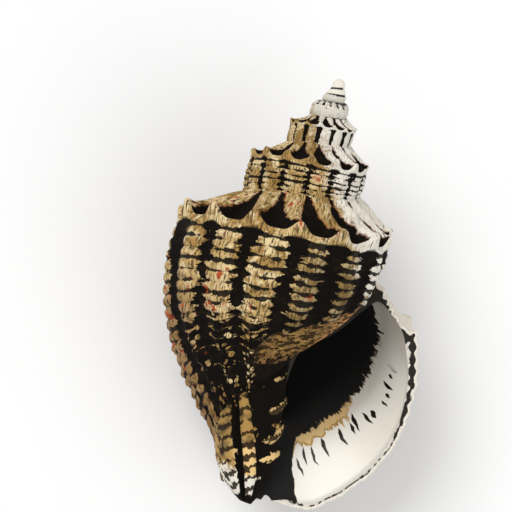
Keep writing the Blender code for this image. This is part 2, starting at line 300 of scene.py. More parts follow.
def grow_length(number, rib_rows, columns):
    """One solid length of the coiled tube. The first has the lip; both ends of the others narrow."""
    first = -(LENGTH_RIBS * (number + 1) + JOINT_PHASE)
    last = -(LENGTH_RIBS * number + JOINT_PHASE) if number else LIP_PHASE
    middle = np.arange(first + 1.0 / rib_rows, last - 0.5 / rib_rows, 1.0 / rib_rows)
    start = (first - JOINT_RIBS, first + JOINT_RIBS * 0.6)
    end = (last - JOINT_RIBS * 0.6, last + JOINT_RIBS)
    if number == 0:
        end = np.full(LIP_ROWS, last)
    ribs = np.sort(np.concatenate((start, middle, end)))
    narrow = np.zeros(len(ribs))
    rounding = np.zeros(len(ribs))
    narrow[0] = JOINT_NARROWING
    if number:
        narrow[-1] = JOINT_NARROWING
    else:
        row = np.arange(LIP_ROWS)
        rounding[-LIP_ROWS:] = 0.5 * math.pi * np.minimum(row / LIP_BEND_ROWS, 1.0)
        narrow[-LIP_ROWS:] = LIP_FACE * np.maximum(row - LIP_BEND_ROWS, 0)
    turn = ((ribs - LIP_PHASE) / RIBS)[:, None]
    at, run = spaced(OUTLINE, columns, SEEN_OUTLINE if number else None)
    table, rib, relief, sunk, shown = sculpture(turn, at, run)
    rounded = np.asarray(OUTLINE)[:, :2].copy()
    rounded[: len(ROUND_OUTLINE)] = ROUND_OUTLINE
    rounded = through(rounded, at)
    early = smooth((-turn - ROUND_FROM) / (ROUND_TO - ROUND_FROM))
    radius = table[:, 0] + early * (rounded[:, 0] - table[:, 0]) + rib * table[:, 2]
    height = table[:, 1] + early * (rounded[:, 1] - table[:, 1]) + rib * table[:, 3] + sunk
    outside = np.stack(slowed(turn, radius, height), axis=-1)
    ends = np.minimum(np.arange(columns), 3) / 3.0
    stand = flare(turn) * table[:, 4] + relief * ends
    stand = stand - LIP_ROUNDING * (1.0 - np.cos(rounding))[:, None]
    ahead = LIP_ROUNDING * np.sin(rounding)[:, None] / LAST_TURN_LENGTH
    outside = outside + outward(outside) * stand[..., None]
    inner = np.array(INNER_SIDE)
    inside = np.stack(np.broadcast_arrays(*slowed(turn, inner[:, 0], inner[:, 1])), axis=-1)
    section = np.concatenate((outside, inside), axis=1) * size(turn)[..., None]
    middles = section.mean(axis=1, keepdims=True)
    section = middles + (section - middles) * (1.0 - narrow)[:, None, None]

    def widened(values):
        """The same values, with the hidden inner side's set to 0."""
        values = np.broadcast_to(values, (len(ribs), columns))
        return np.pad(values, ((0, 0), (0, len(inner))))

    maps = {
        "growth": (widened((ribs + FACE_RIBS * narrow)[:, None]), widened(shown["course"])),
        "relief": (widened(np.clip(shown["rib"], 0.0, 1.3)), widened(shown["grown"])),
        "place": (widened(at), widened(shown["callus"])),
        "lining": (widened(0.0), widened(shown["thin"])),
    }
    return grow(f"length_{number + 1}", place(turn + ahead, section), maps)


lengths = [grow_length(number, *fineness) for number, fineness in enumerate(LENGTH_FINENESS)]

# The pillar that the shell coils round, from its first turn to the end of its canal. It is the inner
# wall of every turn, thickened with smooth calcite, and its lower end carries the old ends of the
# canal as a scaly ridge, with a narrow chink beside it and three low folds on the mouth's side.
PILLAR = (
    (1.0, 0.0, 0.25),
    (20.0, 0.0, 1.6),
    (40.0, 0.0, 3.1),
    (52.0, 0.3, 4.2),
    (60.0, 0.6, 5.0),
    (66.0, 0.9, 5.6),
    (70.0, 1.2, 5.3),
    (73.5, 1.7, 4.2),
    (76.3, 2.5, 2.6),
    (78.0, 3.2, 1.1),
)
PILLAR_ROWS = 150
PILLAR_SIDES = 96
CHINK_HEIGHTS = (50.0, 56.7, 62.0, 67.7, 73.2, 78.2)
CHINK_ANGLES = (175.0, 163.0, 131.0, 110.0, 95.0, 90.0)
CHINK_DEPTH = 0.9
SCALE_SPACING = 1.9
FOLDS = ((51.3, 3.8, 0.8), (56.3, 4.8, 0.95), (61.0, 5.4, 0.9), (66.2, 3.6, 0.75))


def grow_pillar():
    """The pillar as a tube of rings, with its ridge, chink and folds."""
    at, _ = spaced([(height, shift) for height, shift, _ in PILLAR], PILLAR_ROWS)
    height, shift, radius = through(PILLAR, at).T
    degrees = np.linspace(0.0, 360.0, PILLAR_SIDES, endpoint=False)
    low = smooth((height - 50.0) / 8.0)[:, None] * smooth((78.5 - height) / 3.0)[:, None]
    past = degrees - np.interp(height, CHINK_HEIGHTS, CHINK_ANGLES)[:, None]
    chink = np.exp(-((past / 6.0) ** 2)) * low
    ridge = smooth((past - 5.0) / 14.0) * smooth((120.0 - past) / 40.0) * low
    course = (height[:, None] + 0.05 * np.abs(past - 42.0)) / SCALE_SPACING
    scale = np.mod(course, 1.0)
    plate = smooth((-past - 4.0) / 6.0) * smooth((past + 40.0) / 12.0) * low
    fold = np.zeros_like(past)
    for level, slant, thick in FOLDS:
        along = np.clip((degrees - 8.0) / 62.0, 0.0, 1.0)
        off = (height[:, None] - level - slant * along**0.6) / (thick * (0.2 + np.sin(math.pi * along)))
        fold = np.maximum(fold, np.exp(-(off**2)) * smooth(np.sin(math.pi * along) * 2.5))
    fold = fold * smooth((-past - 2.0) / 10.0) * low
    stand = 0.55 * ridge + 0.45 * ridge * scale + 0.5 * plate + 0.9 * fold - CHINK_DEPTH * chink
    reach = radius[:, None] + stand
    angle = np.radians(degrees)
    x = shift[:, None] + reach * np.cos(angle)
    z = reach * np.sin(angle)
    points = np.stack((x, -height[:, None] - HANG * x, z), axis=-1) * MM
    maps = {
        "growth": (course, height[:, None]),
        "relief": (plate, np.clip(1.0 - chink, 0.0, 1.0)),
        "place": (np.clip(ridge, 0.0, 1.0), fold),
        "lining": (2.0, scale),
    }
    return grow("pillar", points, maps)


pillar = grow_pillar()

# The first turn, which the animal hatched with: a small smooth cap of the same calcite, with a fine
# suture round it. It widens downwards, and the turn that grew next is fused to it.
NUCLEUS_RADIUS = 1.15
NUCLEUS_DROP = 0.05
NUCLEUS_LENGTH = 3.4
NUCLEUS_ROWS = 44
NUCLEUS_SIDES = 48
NUCLEUS_SUTURE = 1.5
NUCLEUS_PITCH = 1.3
NUCLEUS_LINE = 6.5
NUCLEUS_RIBS = -70.0


def grow_nucleus():
    """The cap as rings, round above and wider below, pinched along its suture."""
    down = np.linspace(0.03, NUCLEUS_LENGTH, NUCLEUS_ROWS)[:, None]
    angle = np.linspace(0.0, 2.0 * math.pi, NUCLEUS_SIDES, endpoint=False)
    past = (down - NUCLEUS_SUTURE) / NUCLEUS_PITCH - angle / (2.0 * math.pi)
    begun = smooth((past + 0.4) / 0.3) * np.where(past < 0.5, smooth(angle), 1.0)
    suture = np.exp(-(((past - np.rint(past)) / 0.2) ** 2)) * begun
    dome = np.sqrt(1.0 - (1.0 - np.minimum(down / NUCLEUS_RADIUS, 1.0)) ** 2)
    ring = NUCLEUS_RADIUS * (dome + 0.75 * smooth((down - 1.2) / 2.2)) * (1.0 - 0.12 * suture)
    rise = NUCLEUS_RADIUS - NUCLEUS_DROP - down
    points = np.stack(np.broadcast_arrays(ring * np.cos(angle), rise, ring * np.sin(angle)), axis=-1)
    maps = {
        "growth": (NUCLEUS_RIBS, 0.0),
        "relief": (1.0, 0.0),
        "place": (NUCLEUS_LINE * (1.0 - suture), 0.0),
        "lining": (0.0, 0.0),
    }
    return grow("nucleus", points * MM, maps)


nucleus = grow_nucleus()

# The hollow in which the animal lived, lined with smooth calcite. Its deep inside is painted near black
# as shade, and the flared lip is pale, with a row of short wrinkles across it.
HOLLOW = (
    (16.1, 37.4),
    (19.8, 42.8),
    (23.2, 47.4),
    (25.4, 50.4),
    (26.1, 54.2),
    (25.9, 58.5),
    (24.7, 63.8),
    (22.2, 69.0),
    (18.7, 73.6),
    (14.8, 78.0),
    (11.2, 80.5),
    (8.6, 80.8),
    (6.6, 78.0),
    (5.6, 71.0),
    (5.2, 61.0),
    (5.4, 53.0),
    (7.5, 47.0),
    (10.0, 44.2),
    (12.3, 41.4),
    (14.2, 38.6),
)
MOUTH = (
    (17.0, 34.8),
    (19.9, 36.7),
    (22.2, 38.9),
    (23.3, 41.8),
    (23.5, 45.5),
    (23.2, 49.8),
    (22.1, 54.2),
    (19.9, 58.2),
    (16.9, 62.0),
    (13.4, 65.5),
    (9.7, 68.8),
    (6.9, 71.8),
    (4.8, 75.0),
    (5.2, 71.5),
    (5.9, 67.5),
    (4.8, 58.0),
    (5.6, 48.5),
    (9.9, 44.2),
    (12.3, 41.2),
    (14.6, 37.6),
)
MOUTH_FLARE = (0.0, 0.5, 0.6, 0.9, 2.1, 3.1, 4.2, 5.5, 6.6, 7.2, 7.2, 5.0, 2.0)
PARIETAL_POINTS = 5
MOUTH_TURN = 0.14
HOLLOW_TURNS = 1.2
MOUTH_OVERRUN = 0.012
DEEP_SECTIONS = 60
MOUTH_SECTIONS = 40
HOLLOW_COLUMNS = 128
DARK_FROM = 0.075


def ring_through(points, at):
    """A smooth closed curve through points, read at fractional numbers."""
    points = np.asarray(points, float)
    padded = np.concatenate((points[-1:], points, points[:3]))
    return through(padded, at + 1.0)


def grow_hollow():
    """The hollow as a solid that is cut out of the shell."""
    deep = np.linspace(-HOLLOW_TURNS, -MOUTH_TURN, DEEP_SECTIONS)
    near = np.linspace(-MOUTH_TURN, 0.0, MOUTH_SECTIONS)[1:]
    turns = np.concatenate((deep, near, (0.5 * MOUTH_OVERRUN, MOUTH_OVERRUN)))
    turn = np.minimum(turns, 0.0)[:, None]
    at = np.arange(HOLLOW_COLUMNS) / HOLLOW_COLUMNS * len(MOUTH)
    width = np.zeros((len(MOUTH), 2))
    width[: len(MOUTH_FLARE), 0] = MOUTH_FLARE
    inner = np.array(HOLLOW)
    inside = np.stack(np.broadcast_arrays(*slowed(turn, inner[:, 0], inner[:, 1])), axis=-1)
    inside[:, -PARIETAL_POINTS:] = inner[-PARIETAL_POINTS:]
    inside = np.stack([ring_through(section, at) for section in inside])
    mouth = ring_through(MOUTH, at)
    opening = smooth((turn + MOUTH_TURN) / MOUTH_TURN)[..., None]
    section = inside * (1.0 - opening) + mouth * opening
    reach = ring_through(width, at)[:, 0]
    step = np.linalg.norm(np.diff(mouth, axis=0, append=mouth[:1]), axis=1)
    run = np.concatenate(([0.0], np.cumsum(step)[:-1]))
    stand = flare(turn) * reach
    section = section + outward(section) * stand[..., None]
    section = section * size(turn)[..., None]
    lip_side = smooth((13.0 - at) / 0.8) * smooth((at + 0.4) / 0.6)
    lip_side = lip_side + smooth((at - 19.6) / 0.4)
    # How far in the painted shade of the deep inside begins: a little way in on the lip's side, and at once
    # elsewhere
    depth = (-turn - DARK_FROM) / DARK_FROM
    dark = depth * lip_side + 1.5 * (1.0 - lip_side)
    maps = {
        "growth": (turn * RIBS, run),
        "relief": (1.0, 1.0),
        "place": (at, lip_side),
        "lining": (1.0, dark),
    }
    return grow("hollow", place(turns[:, None], section), maps)


hollow = grow_hollow()

# The whole shell, grown as one piece: the lengths, the pillar and the first turn joined, and the
# hollow cut out of them. It lies on its back on its ribs and spines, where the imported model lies.
PITCH = math.radians(8.75)
ROLL = math.radians(-1.7)
POLE_FROM_BOX = (22.52, 77.61, 29.87)
SEAM_WELD = 5e-7


def joined(pieces, cutter):
    """One mesh from solids that run into each other, with another cut out.

    The lengths meet at shallow angles, where the exact solver leaves edges open. Points that the
    cuts leave in the middle of an edge are dissolved, so that no two faces lie on each other.
    """
    whole = pieces[0]
    for other in (*pieces[1:], cutter):
        modifier = whole.modifiers.new(other.name, "BOOLEAN")
        modifier.operation = "DIFFERENCE" if other is cutter else "UNION"
        modifier.solver = "MANIFOLD"
        modifier.object = other
    depsgraph = bpy.context.evaluated_depsgraph_get()
    mesh = bpy.data.meshes.new_from_object(whole.evaluated_get(depsgraph))
    for other in (*pieces, cutter):
        old = other.data
        bpy.data.objects.remove(other)
        bpy.data.meshes.remove(old)
    work = bmesh.new()
    work.from_mesh(mesh)
    bmesh.ops.remove_doubles(work, verts=work.verts, dist=SEAM_WELD)
    idle = [vert for vert in work.verts if len(vert.link_edges) == 2]
    bmesh.ops.dissolve_verts(work, verts=idle)
    loose = [vert for vert in work.verts if not vert.link_faces]
    bmesh.ops.delete(work, geom=loose, context="VERTS")
    bmesh.ops.triangulate(work, faces=work.faces, quad_method="BEAUTY", ngon_method="BEAUTY")
    bmesh.ops.recalc_face_normals(work, faces=work.faces)
    work.to_mesh(mesh)
    work.free()
    return mesh


shell_mesh = joined([*lengths, pillar, nucleus], hollow)
shell_mesh.name = "grown_shell"
low = Vector(cad_box[0])
pole = low + Vector(POLE_FROM_BOX) * MM
laid = Matrix.Rotation(ROLL, 4, "Y") @ Matrix.Rotation(PITCH, 4, "X")
shell_mesh.transform(Matrix.Translation(pole) @ laid)
heights = np.empty(len(shell_mesh.vertices) * 3)
shell_mesh.vertices.foreach_get("co", heights)
lift = max(0.0, low.z - heights[2::3].min())
shell_mesh.transform(Matrix.Translation((0.0, 0.0, lift)))
shell_mesh.shade_smooth()
shell = bpy.data.objects.new("grown_shell", shell_mesh)
bpy.context.scene.collection.objects.link(shell)


def colour(code):
    """A hex sRGB colour as linear red, green and blue, with full alpha."""
    parts = [int(code[i : i + 2], 16) / 255.0 for i in (1, 3, 5)]
    linear = [p / 12.92 if p <= 0.04045 else ((p + 0.055) / 1.055) ** 2.4 for p in parts]
    return (*linear, 1.0)


def add(tree, kind, *values, **settings):
    """Adds a node with its settings, and fills its sockets in order. Returns its first output."""
    node = tree.nodes.new("ShaderNode" + kind)
    for name, value in settings.items():
        setattr(node, name, value)
    for socket, value in zip([socket for socket in node.inputs if socket.enabled], values):
        if isinstance(value, bpy.types.NodeSocket):
            tree.links.new(value, socket)
        elif value is not None:
            socket.default_value = value
    return next(socket for socket in node.outputs if socket.enabled)


CURVE = {"interpolation_type": "SMOOTHSTEP"}


def new_material(name):
    """An empty node material, its nodes and its surface shader."""
    material = bpy.data.materials.new(name)
    material.use_nodes = True
    tree = material.node_tree
    return material, tree, tree.nodes["Principled BSDF"]


# Chalky calcite, as a shell is outside after years in the sea: matt, tan and ochre, bleached to bone on
# the side that lay uppermost, with painted shade, near black, in the furrows, along the sutures and over the
# base.
# Stains are about 11 mm across, mottling 3 mm and specks 1 mm. Real growth lines are 0.2 mm apart, and
# HATCH to a rib draws them, broken up by wear, twice as coarse, so that they show.
OCHRE = colour("#B08A4C")
TAN = colour("#D3B276")
CREAM = colour("#EDD5A2")
BONE = colour("#F4EDDF")
OLIVE = colour("#5E4B29")
SIENNA = colour("#8A5F36")
RUST_AND_SHADE = colour("#7E4216")
EMBER = colour("#B5440F")
APRICOT = colour("#E0A468")
BROWN = colour("#2E200D")
SHADE_AND_LINE_BLACK = colour("#0E0905")
HATCH = 22.0


def shell_outside():
    """Layers: worn tan, growth lines, the cords' grooves, rust-brown rims, then painted shade over all of
    them.
    """
    material, tree, surface = new_material("weathered_calcite")
    where = add(tree, "TexCoord").node.outputs["Object"]
    ribs, course, _ = add(tree, "SeparateXYZ", add(tree, "UVMap", uv_map="growth")).node.outputs
    rib, grown, _ = add(tree, "SeparateXYZ", add(tree, "UVMap", uv_map="relief")).node.outputs
    row, callus, _ = add(tree, "SeparateXYZ", add(tree, "UVMap", uv_map="place")).node.outputs
    thin = add(tree, "SeparateXYZ", add(tree, "UVMap", uv_map="lining")).node.outputs[1]
    patches = add(tree, "TexNoise", where, 90.0, 3.0, 0.6)
    mottle = add(tree, "TexNoise", where, 340.0, 3.0, 0.6)
    speck = add(tree, "TexNoise", where, 1150.0, 3.0, 0.6)
    ragged = add(tree, "Math", mottle, speck, operation="ADD")
    ragged = add(tree, "Math", ragged, 0.5, -0.5, operation="MULTIPLY_ADD")
    teeth = add(tree, "Math", ribs, 2.0, operation="MULTIPLY")
    teeth = add(tree, "CombineXYZ", teeth, add(tree, "Math", course, 1.9, operation="MULTIPLY"), 0.0)
    teeth = add(tree, "Math", add(tree, "TexNoise", teeth, 1.0, 3.0, 0.65), 0.5, operation="SUBTRACT")
    east, north, _ = add(tree, "SeparateXYZ", where).node.outputs
    # The body whorl, and on it the side towards the mouth, away from the key lamp, where the painted shade
    # spreads wider
    body = add(tree, "MapRange", ribs, -15.0, -14.0)
    right = add(tree, "MapRange", ribs, -10.9, -10.1, 1.0, 0.0)
    right = add(tree, "Math", right, body, operation="MULTIPLY")

    # Worn tan that goes to ochre and cream in patches, darker low down, olive as painted shade towards
    # the mouth, on the side away from the key lamp, and to bone on the side that lay uppermost
    worn = add(tree, "MapRange", patches, 0.42, 0.6, **CURVE)
    worn = add(tree, "Mix", worn, OCHRE, TAN, data_type="RGBA")
    pale = add(tree, "MapRange", mottle, 0.48, 0.6, 0.0, 1.0, **CURVE)
    worn = add(tree, "Mix", pale, worn, CREAM, data_type="RGBA")
    low = add(tree, "MapRange", row, 8.5, 10.5, 0.0, 0.7, **CURVE)
    left = add(tree, "MapRange", ribs, -9.2, -7.6, **CURVE)
    low = add(tree, "Math", low, left, operation="MULTIPLY")
    worn = add(tree, "Mix", low, worn, SIENNA, data_type="RGBA")
    painted_side_shade = add(tree, "Math", ragged, 1.6, ribs, operation="MULTIPLY_ADD")
    painted_side_shade = add(tree, "MapRange", painted_side_shade, -11.0, -10.4, 0.55, 0.0, **CURVE)
    painted_side_shade = add(tree, "Math", painted_side_shade, add(tree, "MapRange", row, 6.0, 7.4, 0.3, 1.0), operation="MULTIPLY")
    painted_side_shade = add(tree, "Math", painted_side_shade, body, operation="MULTIPLY")
    worn = add(tree, "Mix", painted_side_shade, worn, OLIVE, data_type="RGBA")
    side = add(tree, "Math", north, 0.59, east, operation="MULTIPLY_ADD")
    side = add(tree, "Math", ragged, 0.015, side, operation="MULTIPLY_ADD")
    side = add(tree, "MapRange", side, 0.01, 0.0135, **CURVE)
    worn = add(tree, "Mix", side, worn, BONE, data_type="RGBA")

    # Growth lines, as fine olive hatching along the ribs, broken and worn away in places
    line = add(tree, "Math", ribs, HATCH, operation="MULTIPLY")
    line = add(tree, "CombineXYZ", line, add(tree, "Math", course, 1.3, operation="MULTIPLY"), 3.0)
    line = add(tree, "TexNoise", line, 1.0, 2.0, 0.5)
    stroke = add(tree, "MapRange", line, 0.57, 0.62, **CURVE)
    inked = add(tree, "MapRange", mottle, 0.47, 0.56, 0.0, 0.9)
    stroke = add(tree, "Math", stroke, inked, operation="MULTIPLY")
    line = add(tree, "MapRange", line, 0.49, 0.57, **CURVE)
    broken = add(tree, "MapRange", mottle, 0.4, 0.58, 0.95, 0.35, **CURVE)
    line = add(tree, "Math", line, broken, operation="MULTIPLY")
    faint = add(tree, "MapRange", side, 0.0, 1.0, 1.0, 0.2)
    faint = add(tree, "Math", line, faint, operation="MULTIPLY")
    worn = add(tree, "Mix", faint, worn, OLIVE, data_type="RGBA")
    worn = add(tree, "Mix", stroke, worn, SHADE_AND_LINE_BLACK, data_type="RGBA")

    # Painted shade in the grooves between the cords, wider towards the mouth: each third one runs on,
    # and the others break off
    bent = add(tree, "Math", add(tree, "Math", ragged, 0.6, course, operation="MULTIPLY_ADD"), 0.5)
    band = add(tree, "Math", bent, operation="FLOOR")
    off = add(tree, "Math", add(tree, "Math", bent, operation="FRACT"), 0.5, operation="SUBTRACT")
    off = add(tree, "Math", off, operation="ABSOLUTE")
    third = add(tree, "Math", band, 3.0, operation="MODULO")
    third = add(tree, "Math", third, 0.5, operation="LESS_THAN")
    dash = add(tree, "Math", ribs, 2.8, operation="MULTIPLY")
    dash = add(tree, "CombineXYZ", dash, add(tree, "Math", band, 5.7, operation="MULTIPLY"), 0.0)
    dash = add(tree, "TexNoise", dash, 1.0, 2.0, 0.6)
    thick = add(tree, "MapRange", dash, 0.42, 0.64, 0.0, 0.2, **CURVE)
    thick = add(tree, "Math", third, 0.1, thick, operation="MULTIPLY_ADD")
    thick = add(tree, "Math", right, 0.1, thick, operation="MULTIPLY_ADD")
    cut = add(tree, "Math", off, thick, operation="SUBTRACT")
    cut = add(tree, "MapRange", cut, -0.025, 0.025, 0.97, 0.0, **CURVE)
    on_wall = add(tree, "MapRange", row, 5.75, 6.0, **CURVE)
    cut = add(tree, "Math", cut, on_wall, operation="MULTIPLY")
    ringed = add(tree, "MapRange", ribs, -39.0, -30.0)
    cut = add(tree, "Math", cut, ringed, operation="MULTIPLY")
    worn = add(tree, "Mix", cut, worn, SHADE_AND_LINE_BLACK, data_type="RGBA")

    # How far a place is out of the furrows, which are uneven, and toothed where the grooves meet them;
    # the painted shade fills the places that lie below a level
    furrow = add(tree, "Math", ribs, 0.8, operation="MULTIPLY")
    furrow = add(tree, "CombineXYZ", furrow, add(tree, "Math", course, 0.3, operation="MULTIPLY"), 7.0)
    furrow = add(tree, "Math", add(tree, "TexNoise", furrow, 1.0, 2.0, 0.6), 0.5, operation="SUBTRACT")
    toothed = add(tree, "Math", ringed, on_wall, operation="MULTIPLY")
    toothed = add(tree, "MapRange", toothed, 0.0, 1.0, 0.2, 1.5)
    out = add(tree, "Math", teeth, toothed, rib, operation="MULTIPLY_ADD")
    out = add(tree, "Math", furrow, 0.6, out, operation="MULTIPLY_ADD")
    out = add(tree, "Math", ragged, 0.6, out, operation="MULTIPLY_ADD")
    cord = add(tree, "Math", ringed, on_wall, operation="MULTIPLY")
    cord = add(tree, "Math", cord, off, operation="MULTIPLY")
    out = add(tree, "Math", cord, 0.5, out, operation="MULTIPLY_ADD")
    out = add(tree, "Math", grown, -1.1, add(tree, "Math", out, 1.1), operation="MULTIPLY_ADD")

    # Rust-brown round the hollows of the shoulder, as the soft rim of the painted shade in them, and
    # ember spots in patches
    on_ramp = add(tree, "MapRange", row, 4.5, 5.0, 1.0, 0.0, **CURVE)
    deepest = add(tree, "MapRange", ribs, -58.0, -34.0, 0.3, 0.8)
    level = add(tree, "MapRange", row, 1.0, 4.0, 0.1, deepest, **CURVE)
    level = add(tree, "Math", level, on_ramp, operation="MULTIPLY")
    # How far the painted shade rises between the ribs: further towards the mouth, away from the key lamp,
    # and on one rib at the left, less on the early turns
    wall_level = add(tree, "Math", right, 0.3, 0.37, operation="MULTIPLY_ADD")
    wider = add(tree, "MapRange", ribs, -7.95, -7.75, **CURVE)
    wider = add(tree, "Math", wider, add(tree, "MapRange", ribs, -7.1, -6.9, 1.0, 0.0), operation="MULTIPLY")
    wider = add(tree, "Math", wider, add(tree, "MapRange", row, 7.5, 8.5, 0.7, 0.25), operation="MULTIPLY")
    wall_level = add(tree, "Math", wall_level, wider)
    early = add(tree, "MapRange", ribs, -48.0, -30.0, -0.13, 0.0)
    wall_level = add(tree, "Math", wall_level, early)
    last = add(tree, "MapRange", ribs, -13.0, -12.3, 0.2, 0.0, **CURVE)
    last = add(tree, "Math", last, body, operation="MULTIPLY")
    wall_level = add(tree, "Math", wall_level, last)
    wall_level = add(tree, "Math", wall_level, on_wall, operation="MULTIPLY")
    level = add(tree, "Math", level, wall_level)
    inside = add(tree, "Math", level, out, operation="SUBTRACT")
    sunk = add(tree, "MapRange", inside, -0.12, -0.03, 0.0, 0.8, **CURVE)
    sunk = add(tree, "Math", sunk, on_ramp, operation="MULTIPLY")
    worn = add(tree, "Mix", sunk, worn, RUST_AND_SHADE, data_type="RGBA")
    stain = add(tree, "MapRange", patches, 0.52, 0.58, **CURVE)
    spots = add(tree, "Math", ragged, 0.4, mottle, operation="MULTIPLY_ADD")
    spots = add(tree, "MapRange", spots, 0.59, 0.67, 0.0, 0.9, **CURVE)
    stain = add(tree, "Math", stain, spots, operation="MULTIPLY")
    faint = add(tree, "MapRange", side, 0.0, 0.5, 1.0, 0.0)
    stain = add(tree, "Math", stain, faint, operation="MULTIPLY")
    worn = add(tree, "Mix", stain, worn, EMBER, data_type="RGBA")

    # Painted shade, near black, where shade falls: in the furrows and hollows, along the suture, and over
    # the base but for the beads
    dark = add(tree, "MapRange", inside, -0.02, 0.02, **CURVE)
    rim = add(tree, "MapRange", row, 5.75, 5.9)
    rim = add(tree, "Math", rim, add(tree, "MapRange", row, 4.85, 5.0, 1.0, 0.0), operation="MAXIMUM")
    dark = add(tree, "Math", dark, rim, operation="MULTIPLY")
    suture = add(tree, "MapRange", ribs, -48.0, -40.0, 0.17, 0.4)
    suture = add(tree, "Math", suture, add(tree, "MapRange", ribs, -40.0, -28.0, 0.0, 0.6))
    suture = add(tree, "Math", suture, row, operation="MULTIPLY")
    suture = add(tree, "Math", ragged, 1.0, suture, operation="MULTIPLY_ADD")
    suture = add(tree, "MapRange", suture, 0.35, 0.6, 0.95, 0.0, **CURVE)
    base = add(tree, "Math", ragged, 3.0, row, operation="MULTIPLY_ADD")
    base = add(tree, "Math", teeth, 3.0, base, operation="MULTIPLY_ADD")
    base = add(tree, "MapRange", base, 10.7, 11.1, **CURVE)
    turned = add(tree, "Math", ragged, 1.5, ribs, operation="MULTIPLY_ADD")
    base = add(tree, "Math", base, add(tree, "MapRange", turned, -7.7, -7.4, 1.0, 0.0), operation="MULTIPLY")
    cells = add(tree, "Math", ribs, 5.0, operation="MULTIPLY")
    cells = add(tree, "CombineXYZ", cells, add(tree, "Math", course, 1.6, operation="MULTIPLY"), 0.0)
    beads = add(tree, "TexVoronoi", cells, 1.0).node.outputs
    bead = add(tree, "MapRange", add(tree, "SeparateColor", beads["Color"]), 0.0, 0.8, 0.06, 0.56)
    bead = add(tree, "Math", bead, beads["Distance"], operation="SUBTRACT")
    bead = add(tree, "Math", ragged, -0.8, bead, operation="MULTIPLY_ADD")
    arc = add(tree, "Math", off, add(tree, "MapRange", row, 11.0, 13.0, -0.41, -0.54))
    arc = add(tree, "Math", teeth, 0.5, arc, operation="MULTIPLY_ADD")
    bead = add(tree, "Math", bead, arc, operation="MAXIMUM")
    bead = add(tree, "MapRange", bead, 0.0, 0.05, 1.0, 0.0, **CURVE)
    dark = add(tree, "Math", dark, add(tree, "Math", base, bead, operation="MULTIPLY"), operation="MAXIMUM")

    # The callus is smooth and olive, with dark veins and painted shade over its lower end; the lip is
    # bone, with a dark line of painted shade along its edge
    veins = add(tree, "Math", teeth, ragged)
    veins = add(tree, "MapRange", veins, 0.0, 0.04, 0.0, 0.9, **CURVE)
    covered = add(tree, "Math", ragged, 4.0, row, operation="MULTIPLY_ADD")
    covered = add(tree, "MapRange", covered, 13.4, 13.7, **CURVE)
    veins = add(tree, "Math", veins, covered, operation="MAXIMUM")
    smear = add(tree, "Mix", add(tree, "MapRange", mottle, 0.4, 0.6), SIENNA, OCHRE, data_type="RGBA")
    smear = add(tree, "Mix", line, smear, OLIVE, data_type="RGBA")
    warm = add(tree, "MapRange", ribs, -12.9, -12.3, 0.8, 0.0, **CURVE)
    smear = add(tree, "Mix", warm, smear, APRICOT, data_type="RGBA")
    worn = add(tree, "Mix", callus, worn, smear, data_type="RGBA")
    dark = add(tree, "Mix", callus, dark, veins, data_type="FLOAT")
    streaks = add(tree, "MapRange", patches, 0.45, 0.65, 0.1, 0.5)
    streaks = add(tree, "Math", line, streaks, operation="MULTIPLY")
    behind = add(tree, "MapRange", ribs, -0.2, 0.15, 1.0, 0.0)
    streaks = add(tree, "Math", streaks, behind, operation="MULTIPLY")
    streaks = add(tree, "Mix", streaks, BONE, TAN, data_type="RGBA")
    worn = add(tree, "Mix", thin, worn, streaks, data_type="RGBA")
    flared = add(tree, "Math", teeth, 1.2, ribs, operation="MULTIPLY_ADD")
    flared = add(tree, "Math", ragged, 1.6, flared, operation="MULTIPLY_ADD")
    flared = add(tree, "MapRange", flared, -0.72, -0.6, 1.0, 0.0, **CURVE)
    dark = add(tree, "Math", dark, flared, operation="MULTIPLY")
    worn = add(tree, "Mix", flared, streaks, worn, data_type="RGBA")
    edge = add(tree, "Math", ribs, add(tree, "MapRange", thin, 0.0, 1.0, 0.85, 0.4), operation="SUBTRACT")
    edge = add(tree, "Math", edge, add(tree, "MapRange", row, 5.0, 7.0, 0.3, 0.0))
    edge = add(tree, "Math", add(tree, "Math", edge, operation="ABSOLUTE"), -1.0, operation="MULTIPLY")
    edge = add(tree, "Math", edge, add(tree, "MapRange", thin, 0.0, 1.0, 0.68, 0.1))
    edge = add(tree, "Math", edge, add(tree, "MapRange", row, 2.5, 4.0, 3.0, 0.0))
    edge = add(tree, "Math", teeth, 1.3, edge, operation="MULTIPLY_ADD")
    edge = add(tree, "Math", ragged, 2.6, edge, operation="MULTIPLY_ADD")
    edge = add(tree, "MapRange", edge, -0.03, 0.03, 0.0, 0.97, **CURVE)
    on_face = add(tree, "MapRange", ribs, 0.2, 0.3)
    edge = add(tree, "Math", edge, on_face, operation="MULTIPLY")
    dark = add(tree, "Math", dark, edge, operation="MAXIMUM")
    dark = add(tree, "Math", dark, suture, operation="MAXIMUM")
    # The painted shade is near black, browner in places
    growth = add(tree, "MapRange", ragged, 0.0, 0.12, 0.0, 0.4, **CURVE)
    growth = add(tree, "Mix", growth, SHADE_AND_LINE_BLACK, BROWN, data_type="RGBA")
    tree.links.new(add(tree, "Mix", dark, worn, growth, data_type="RGBA"), surface.inputs["Base Color"])
    tree.links.new(add(tree, "MapRange", dark, 0.0, 1.0, 0.6, 0.95), surface.inputs["Roughness"])
    surface.inputs["IOR"].default_value = 1.5
    surface.inputs["Specular IOR Level"].default_value = 0.15
    height = add(tree, "Math", line, -0.5, speck, operation="MULTIPLY_ADD")
    height = add(tree, "Math", cut, -1.5, height, operation="MULTIPLY_ADD")
    height = add(tree, "Math", dark, -0.8, height, operation="MULTIPLY_ADD")
    tree.links.new(add(tree, "Bump", 0.6, 0.0003, None, height), surface.inputs["Normal"])
    return material


